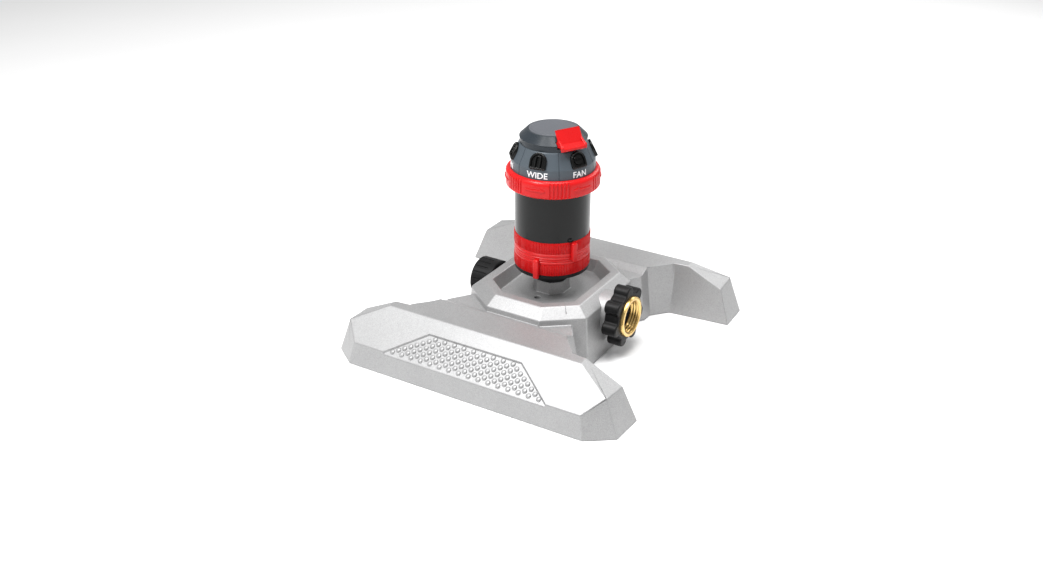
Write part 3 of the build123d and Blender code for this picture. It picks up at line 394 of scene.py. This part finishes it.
tread = bmesh.new()
for side in (-1, 1):
    plane = tread_matrix(side)
    row = 0
    s = TREAD_TOP[1] + 2.3
    while s < TREAD_FOOT[1] - 1.6:
        share = (s - TREAD_TOP[1]) / (TREAD_FOOT[1] - TREAD_TOP[1])
        half = TREAD_TOP[0] + share * (TREAD_FOOT[0] - TREAD_TOP[0])
        reach = half - STUD_RADIUS - 1.2
        shift = STUD_PITCH / 2 if row % 2 else 0.0
        count = ceil(half / STUD_PITCH) + 1
        for index in range(-count, count + 1):
            x = index * STUD_PITCH + shift
            if abs(x) <= reach:
                stud_into(tread, plane, x, s)
        row += 1
        s += STUD_ROW
place(finish_mesh("tread_studs", tread), "base_casting")


# ---------------------------------------------------------------- stop rings

RIB_COUNT = 144
RIB_DEPTH = 0.6


def fine_ribs(first, last, depth):
    """Carving rule: narrow grooves between points first and last of the outline."""
    def carve(angle, index):
        phase = (angle * RIB_COUNT / 360) % 1.0
        return depth if first <= index <= last and phase > 0.45 else 0.0
    return carve


def stop_ring(name, node, outline, first, last, tab_angle, tab_low, tab_high):
    """Ring with fine ribs between points first and last of its outline, and a tab that stops the turret."""
    bm = bmesh.new()
    turned(bm, outline, RIB_COUNT * 4, fine_ribs(first, last, RIB_DEPTH), turret_matrix())
    box_into(bm, (28.9, -2.1, tab_low), (32.8, 2.1, tab_high), turret_matrix(tab_angle), bevel=0.9)
    return place(finish_mesh(name, bm, 30), node, replaces=(node,))


RING_RADIUS = 29.6
RING_BORE = 23.0
stop_ring("lower_ring_ribbed", "lower_stop_ring",
          [(RING_BORE, 63.6), (28.9, 63.4), (29.4, 63.7), (RING_RADIUS, 64.1), (RING_RADIUS, 71.9),
           (29.4, 72.4), (29.0, 72.5), (29.0, 72.9), (29.35, 73.2), (29.35, 74.3), (28.9, 74.7),
           (28.9, 75.1), (29.35, 75.5), (29.35, 76.2), (29.1, 76.5), (RING_BORE, 76.5)],
          2, 5, -83.0, 61.2, 77.0)
stop_ring("upper_ring_ribbed", "upper_stop_ring",
          [(RING_BORE, 76.6), (29.1, 76.6), (29.35, 76.9), (29.35, 78.0), (28.9, 78.4), (28.9, 78.8),
           (29.35, 79.2), (29.35, 80.6), (29.0, 80.9), (29.0, 81.5), (29.4, 81.8), (RING_RADIUS, 82.3),
           (RING_RADIUS, 90.1), (29.4, 90.5), (29.0, 90.6), (RING_BORE, 90.6)],
          10, 13, -27.6, 75.2, 90.2)


# ---------------------------------------------------------------- selector ring

SELECTOR_RADIUS = 36.0
SELECTOR_LOW = low("selector_ring").z / MM
SELECTOR_HIGH = SELECTOR_LOW + 13.6
GROUP_HALF = 13.3
GROUP_RIBS = 6
ARROW_THICK = 0.8


def near_panel(angle):
    """Signed angle from the nearest panel line, in degrees."""
    return (angle - PANEL_ANGLE + 30) % 60 - 30


def selector_carve(angle, index):
    """Grooves between the six ribs of each group, on the outer face only."""
    swing = near_panel(angle)
    if abs(swing) > GROUP_HALF or not 4 <= index <= 8:
        return 0.0
    phase = ((swing + GROUP_HALF) * GROUP_RIBS / (2 * GROUP_HALF)) % 1.0
    depth = (0.35, 0.75, 0.75, 0.75, 0.55)[index - 4]
    return depth if 0.28 < phase < 0.78 else 0.0


def wrapped(bm, flat, radius_at, angle, height, lift, matrix):
    """Wrap a flat bmesh (X across, Y up, Z thickness, in mm) round the turret at an angle and height."""
    for vert in flat.verts:
        up = height + vert.co.y
        radius = radius_at(up) + lift + vert.co.z
        turn = radians(angle) + vert.co.x / radius_at(up)
        vert.co = matrix @ Vector((radius * cos(turn) * MM, radius * sin(turn) * MM, up * MM))
    join(bm, flat)


def flat_plate(outline, thickness):
    """Flat closed plate from an outline in mm."""
    flat = bmesh.new()
    face = flat.faces.new([flat.verts.new((x, y, 0)) for x, y in outline])
    bmesh.ops.triangulate(flat, faces=[face])
    lid = bmesh.ops.extrude_face_region(flat, geom=flat.faces[:])
    top = [item for item in lid["geom"] if isinstance(item, bmesh.types.BMVert)]
    bmesh.ops.translate(flat, vec=(0, 0, thickness), verts=top)
    return flat


def arrow_outline(direction):
    """Slim arrow 16 mm long, with points along the shaft so that it follows the ring."""
    shaft_low = [(x, -0.6) for x in (-8, -6, -4, -2, 0, 2, 4)]
    head = [(4, -1.75), (8, 0), (4, 1.75)]
    shaft_high = [(x, 0.6) for x in (4, 2, 0, -2, -4, -6, -8)]
    outline = shaft_low + head + shaft_high
    if direction < 0:
        outline = [(-x, y) for x, y in reversed(outline)]
    return outline


ring = bmesh.new()
turned(ring, [(29.3, SELECTOR_LOW), (34.4, SELECTOR_LOW), (35.3, SELECTOR_LOW + 0.3),
              (35.85, SELECTOR_LOW + 0.9),
              (SELECTOR_RADIUS, SELECTOR_LOW + 1.5), (SELECTOR_RADIUS, SELECTOR_LOW + 4.5),
              (SELECTOR_RADIUS, SELECTOR_LOW + 8.5), (SELECTOR_RADIUS, SELECTOR_HIGH - 2.4),
              (35.8, SELECTOR_HIGH - 1.9), (34.9, SELECTOR_HIGH - 0.6), (34.3, SELECTOR_HIGH - 0.15),
              (33.6, SELECTOR_HIGH), (32.3, SELECTOR_HIGH), (32.3, SELECTOR_LOW + 12.7),
              (31.0, SELECTOR_LOW + 12.7), (31.0, SELECTOR_LOW + 2.2), (29.3, SELECTOR_LOW + 2.2)],
       720, selector_carve, turret_matrix())
for index in range(6):
    direction = 1 if index % 2 else -1
    arrow = flat_plate(arrow_outline(direction), ARROW_THICK)
    wrapped(ring, arrow, lambda z: SELECTOR_RADIUS, PANEL_ANGLE + 30 + 60 * index, SELECTOR_LOW + 6.6, -0.2,
            turret_matrix())
place(finish_mesh("selector_ring_ribbed", ring, 30), "selector_ring", replaces=("selector_ring",))


# ---------------------------------------------------------------- spray dial, its words and its nozzles

DIAL_BAND = (32.2, 141.6)
DIAL_SHOULDER = (31.8, 150.2)
DIAL_TOP = (26.0, 162.0)
DIAL_SLOPE = atan2(DIAL_SHOULDER[0] - DIAL_TOP[0], DIAL_TOP[1] - DIAL_SHOULDER[1])
WORD_HEIGHT = 4.7
WORD_Z = 145.7
WORD_LIFT = 0.12
DIAL_WORDS = ("FAN", "CONE", "JET", "MIST", "RAIN", "WIDE")
NOZZLE_KINDS = ("flat", "cone", "jet", "mist", "shower", "fan")


def dial_radius(z):
    """Outside radius of the dial at a height, in mm."""
    if z < DIAL_SHOULDER[1]:
        share = (z - DIAL_BAND[1]) / (DIAL_SHOULDER[1] - DIAL_BAND[1])
        return DIAL_BAND[0] + share * (DIAL_SHOULDER[0] - DIAL_BAND[0])
    share = (z - DIAL_SHOULDER[1]) / (DIAL_TOP[1] - DIAL_SHOULDER[1])
    return DIAL_SHOULDER[0] + share * (DIAL_TOP[0] - DIAL_SHOULDER[0])


def dial_carve(angle, index):
    """Thin groove down each panel line."""
    return 0.45 if abs(near_panel(angle)) < 0.45 and 2 <= index <= 8 else 0.0


dial = bmesh.new()
turned(dial, [(27.5, 131.3), (31.0, 131.3), (31.0, 141.6), DIAL_BAND, (32.0, 145.8), (31.85, 150.05),
              (31.7, 150.35), (28.9, 156.1), (26.4, 161.3), (25.9, 161.9), (25.3, 162.1), (23.6, 162.1),
              (29.0, 150.0), (29.4, 141.6), (29.4, 135.6), (27.5, 134.6)],
       720, dial_carve, turret_matrix())
place(finish_mesh("spray_dial_shell", dial, 12), "spray_dial", replaces=("spray_dial",))


def word_mesh(text, cap_height, thickness):
    """Bold word as a flat bmesh in mm, centred on the origin."""
    curve = bpy.data.curves.new("word", "FONT")
    curve.body = text
    curve.align_x = "CENTER"
    curve.align_y = "CENTER"
    curve.size = cap_height / 0.72
    curve.offset = 0.055 * cap_height / 4.0
    curve.resolution_u = 3
    curve.extrude = thickness / 2
    holder = bpy.data.objects.new("word", curve)
    bpy.context.scene.collection.objects.link(holder)
    bpy.context.view_layer.update()
    mesh = bpy.data.meshes.new_from_object(holder.evaluated_get(bpy.context.evaluated_depsgraph_get()))
    bpy.data.objects.remove(holder)
    flat = bmesh.new()
    flat.from_mesh(mesh)
    bpy.data.meshes.remove(mesh)
    bmesh.ops.remove_doubles(flat, verts=flat.verts, dist=1e-4)
    return flat


words = bmesh.new()
for index, text in enumerate(DIAL_WORDS):
    flat = word_mesh(text, WORD_HEIGHT, 0.16)
    wrapped(words, flat, dial_radius, NOZZLE_ANGLE + 60 * index, WORD_Z, WORD_LIFT, turret_matrix())
place(finish_mesh("dial_words", words), "spray_dial", WHITE_INK)

NOZZLE_HALF = 6.6
NOZZLE_HEIGHT = 12.6
NOZZLE_CENTRE_Z = 156.0


def nozzle_matrix(angle):
    """Frame on the dial's cone at a nozzle's middle: X across, Y up the slope, Z outwards."""
    out = Vector((cos(radians(angle)), sin(radians(angle)), 0))
    across = Vector((0, 0, 1)).cross(out)
    normal = out * cos(DIAL_SLOPE) + Vector((0, 0, 1)) * sin(DIAL_SLOPE)
    up = normal.cross(across)
    matrix = Matrix((across, up, normal)).transposed().to_4x4()
    matrix.translation = TURRET + (out * dial_radius(NOZZLE_CENTRE_Z) + Vector((0, 0, NOZZLE_CENTRE_Z))) * MM
    return matrix


def arch(half, bottom, top, foot_radius, steps=14):
    """Outline of an arched window in mm, from its flat foot round the arch."""
    points = []
    for step in range(5):
        angle = radians(180 + 90 * step / 4)
        points.append((-half + foot_radius * (1 + cos(angle)), bottom + foot_radius * (1 + sin(angle))))
    for step in range(5):
        angle = radians(270 + 90 * step / 4)
        points.append((half + foot_radius * (cos(angle) - 1), bottom + foot_radius * (1 + sin(angle))))
    for step in range(steps + 1):
        angle = pi * step / steps
        points.append((half * cos(angle), top - half + half * sin(angle)))
    return points


def rim_into(bm, levels, matrix):
    """Skin through outlines given as (points, height), closed at each end."""
    rings = []
    for points, height in levels:
        rings.append([bm.verts.new(matrix @ (Vector((x, y, height)) * MM)) for x, y in points])
    count = len(rings[0])
    for lower, upper in zip(rings, rings[1:]):
        for step in range(count):
            after = (step + 1) % count
            bm.faces.new((lower[step], lower[after], upper[after], upper[step]))
    bm.faces.new(tuple(reversed(rings[0])))
    bm.faces.new(rings[-1])


def disc(radius, centre=(0, 0), count=24):
    return [(centre[0] + radius * cos(tau * step / count), centre[1] + radius * sin(tau * step / count))
            for step in range(count)]


def half_disc(radius, half, gap, steps=14):
    """Upper or lower part of a disc that is split by a level slot; gap is half of the slot's width."""
    start = asin(gap / radius)
    turns = [start + (pi - 2 * start) * step / steps for step in range(steps + 1)]
    points = [(radius * cos(turn), radius * sin(turn)) for turn in turns]
    if half < 0:
        points = [(x, -y) for x, y in reversed(points)]
    return points


def boss_into(bm, radius, low_z, high_z, matrix, centre=(0, 0), bore=0.0, bore_z=0.0):
    """Round boss with a softened edge, and a bore if one is given."""
    levels = [(disc(radius + 0.1, centre), low_z), (disc(radius, centre), high_z - 0.25),
              (disc(radius - 0.25, centre), high_z)]
    if bore:
        levels += [(disc(bore + 0.15, centre), high_z), (disc(bore, centre), high_z - 0.2),
                   (disc(bore * 0.9, centre), bore_z)]
    rim_into(bm, levels, matrix)


def tube_along(bm, path, radius, matrix, count=8):
    """Round bead that follows a path of (x, y, z) in mm."""
    rings = []
    for index, point in enumerate(path):
        before = Vector(path[max(index - 1, 0)])
        after = Vector(path[min(index + 1, len(path) - 1)])
        along = (after - before).normalized()
        side = along.cross(Vector((0, 0, 1))).normalized()
        ring = []
        for step in range(count):
            angle = tau * step / count
            offset = side * cos(angle) * radius + Vector((0, 0, 1)) * sin(angle) * radius
            ring.append(bm.verts.new(matrix @ ((Vector(point) + offset) * MM)))
        rings.append(ring)
    for first, second in zip(rings, rings[1:]):
        for step in range(count):
            after = (step + 1) % count
            bm.faces.new((first[step], first[after], second[after], second[step]))
    bm.faces.new(tuple(reversed(rings[0])))
    bm.faces.new(rings[-1])


def nozzle_piece(kind, angle):
    """Arched black insert: a thick rounded rim round a sunk face that carries the spray pattern."""
    matrix = nozzle_matrix(angle)
    bm = bmesh.new()
    bottom, top = -NOZZLE_HEIGHT / 2, NOZZLE_HEIGHT / 2

    def window(inset):
        return arch(NOZZLE_HALF - inset, bottom + inset, top - inset, max(1.5 - inset, 0.35))

    rim_into(bm, [(window(0.25), -1.6), (window(0.0), 0.6), (window(0.1), 1.25), (window(0.45), 1.7),
                  (window(0.9), 1.8), (window(1.3), 1.6), (window(1.6), 1.1), (window(1.7), 0.25)], matrix)
    if kind == "flat":
        for half in (-1, 1):
            rim_into(bm, [(half_disc(3.9, half, 0.5), 0.1), (half_disc(3.8, half, 0.5), 1.2),
                          (half_disc(3.5, half, 0.7), 1.5)], matrix)
    elif kind == "fan":
        path = [(-1.9, bottom + 0.9, 1.1)]
        path += [(1.9 * cos(pi - pi * step / 12), 1.7 + 1.9 * sin(pi * step / 12), 1.1) for step in range(13)]
        path += [(1.9, bottom + 0.9, 1.1)]
        tube_along(bm, path, 0.75, matrix)
    elif kind == "jet":
        boss_into(bm, 3.2, 0.0, 1.5, matrix, (0, 0.6), bore=1.5, bore_z=-0.6)
    elif kind == "cone":
        boss_into(bm, 3.9, 0.0, 1.2, matrix, (0, 0.4), bore=3.0, bore_z=0.3)
        boss_into(bm, 1.9, 0.0, 1.4, matrix, (0, 0.4))
    elif kind == "mist":
        for step in range(6):
            turn = tau * step / 6
            centre = (2.5 * cos(turn), 0.5 + 2.5 * sin(turn))
            boss_into(bm, 0.75, 0.0, 1.1, matrix, centre, bore=0.35, bore_z=0.4)
    else:
        for column in (-2.6, 0.0, 2.6):
            for row in (-2.6, 0.0, 2.6):
                boss_into(bm, 0.85, 0.0, 1.0, matrix, (column, row + 0.4), bore=0.4, bore_z=0.3)
    node = f"nozzle_{kind}"
    return place(finish_mesh(f"insert_{kind}", bm, 40), node, replaces=(node,))


for index, kind in enumerate(NOZZLE_KINDS):
    nozzle_piece(kind, NOZZLE_ANGLE + 60 * index)


# ---------------------------------------------------------------- cap, disc and flap

softened("crowned_cap", "top_cap", 0.5, angle=18, small=0.4)
softened("deflector_flap", "spray_flap", 0.55, angle=24, small=0.45)

disc_top = high("cap_disc").z / MM
disc_low = low("cap_disc").z / MM
lid = bmesh.new()
turned(lid, [(0.01, disc_low), (18.7, disc_low), (18.7, disc_top - 0.45), (18.5, disc_top - 0.12),
             (18.2, disc_top), (17.3, disc_top), (17.0, disc_top - 0.25), (16.7, disc_top - 0.25),
             (16.4, disc_top), (0.01, disc_top)], 144, None, turret_matrix())
place(finish_mesh("cap_lid", lid, 30), "cap_disc", replaces=("cap_disc",))


# ---------------------------------------------------------------- shell pointer

pointer = bmesh.new()
box_into(pointer, (28.4, -1.5, 90.9), (30.1, 1.5, 93.6), turret_matrix(-33.0), bevel=0.55)
place(finish_mesh("stop_pointer", pointer), "turret_shell")


# ---------------------------------------------------------------- hose inlet and end cap

softened("lobed_grip", "inlet_grip", 0.9, angle=28, small=0.5)
softened("fluted_cap", "end_cap", 0.35, angle=30, small=0.6)

BUSH_RADIUS = 16.0
BUSH_BORE = 12.5
BUSH_LOW = low("inlet_bush").x / MM
BUSH_HIGH = high("inlet_bush").x / MM
THREAD_PITCH = 2.209
THREAD_DEPTH = 0.75
THREAD_START = 68.4


def threaded_bush(bm, matrix, segments=96):
    """Brass ring with a real helical thread inside and a lip at its mouth."""
    steps = ceil((BUSH_HIGH - 1.2 - THREAD_START) / (THREAD_PITCH / 6))
    outside = [(BUSH_BORE + 0.05, BUSH_LOW), (BUSH_RADIUS - 2.2, BUSH_LOW),
               (BUSH_RADIUS - 2.2, BUSH_HIGH - 3.0), (BUSH_RADIUS - 0.2, BUSH_HIGH - 3.0),
               (BUSH_RADIUS, BUSH_HIGH - 2.7), (BUSH_RADIUS, BUSH_HIGH - 0.7),
               (BUSH_RADIUS - 0.25, BUSH_HIGH - 0.2), (BUSH_RADIUS - 0.8, BUSH_HIGH),
               (BUSH_BORE + 1.3, BUSH_HIGH), (BUSH_BORE + 0.7, BUSH_HIGH - 0.35),
               (BUSH_BORE + 0.35, BUSH_HIGH - 1.0)]
    thread = [(BUSH_BORE, BUSH_HIGH - 1.2 - (BUSH_HIGH - 1.2 - THREAD_START) * step / steps)
              for step in range(steps + 1)]
    outline = outside + thread
    first = len(outside)

    def carve(angle, index):
        if index <= first or index >= first + steps:
            return 0.0
        phase = (outline[index][1] / THREAD_PITCH - angle / 360) % 1.0
        return -THREAD_DEPTH * (1 - abs(2 * phase - 1))

    turned(bm, outline, segments, carve, matrix)


bush = bmesh.new()
threaded_bush(bush, Matrix.Translation((0, 0, HOSE_Z)) @ Matrix.Rotation(radians(90), 4, "Y"))
place(finish_mesh("threaded_bush", bush, 32), "inlet_bush", replaces=("inlet_bush",))


# ---------------------------------------------------------------- camera, light and floor

camera_data = bpy.data.cameras.new("camera")
camera = bpy.data.objects.new("camera", camera_data)
bpy.context.scene.collection.objects.link(camera)
CAMERA_PLACE = Vector((0.431979, -0.750679, 0.480287))
CAMERA_RIGHT = Vector((0.85470635, 0.51911041, 0.00119943))
CAMERA_BACK = Vector((0.46291638, -0.76322538, 0.45077205))
CAMERA_UP = CAMERA_BACK.cross(CAMERA_RIGHT)
camera.matrix_world = Matrix.Translation(CAMERA_PLACE) @ Matrix(
    (CAMERA_RIGHT, CAMERA_UP, CAMERA_BACK)).transposed().to_4x4()
camera_data.lens = 42.226
camera_data.sensor_width = 36.0
camera_data.clip_start = 0.01
bpy.context.scene.camera = camera

floor_data = bpy.data.meshes.new("studio_floor")
floor_data.from_pydata([(-6, -6, 0), (6, -6, 0), (6, 6, 0), (-6, 6, 0)], [], [(0, 1, 2, 3)])
floor = bpy.data.objects.new("studio_floor", floor_data)
floor.location.z = -0.0002
floor_data.materials.append(floor_paint())
bpy.context.scene.collection.objects.link(floor)

world = bpy.data.worlds.new("studio")
world.use_nodes = True
world.node_tree.nodes["Background"].inputs["Color"].default_value = (1.0, 1.0, 1.0, 1)
world.node_tree.nodes["Background"].inputs["Strength"].default_value = 0.42
bpy.context.scene.world = world
bpy.context.scene.view_settings.view_transform = "Standard"


def soft_light(name, place_at, target, size, power):
    data = bpy.data.lights.new(name, "AREA")
    data.shape = "RECTANGLE"
    data.size, data.size_y = size
    data.energy = power
    lamp = bpy.data.objects.new(name, data)
    lamp.location = place_at
    lamp.rotation_euler = (Vector(target) - Vector(place_at)).to_track_quat("-Z", "Y").to_euler()
    bpy.context.scene.collection.objects.link(lamp)


soft_light("key", (0.15, -0.1, 1.4), (0.0, 0.0, 0.05), (0.7, 0.7), 18)
soft_light("front", (-0.22, -0.6, 0.98), (0.09, -0.11, 0.03), (0.3, 0.3), 9)
soft_light("left", (-0.9, -0.7, 0.6), (0.0, 0.0, 0.08), (0.5, 0.9), 1.5)
soft_light("back", (0.2, 1.1, 0.8), (0.0, 0.0, 0.08), (1.2, 0.5), 6)
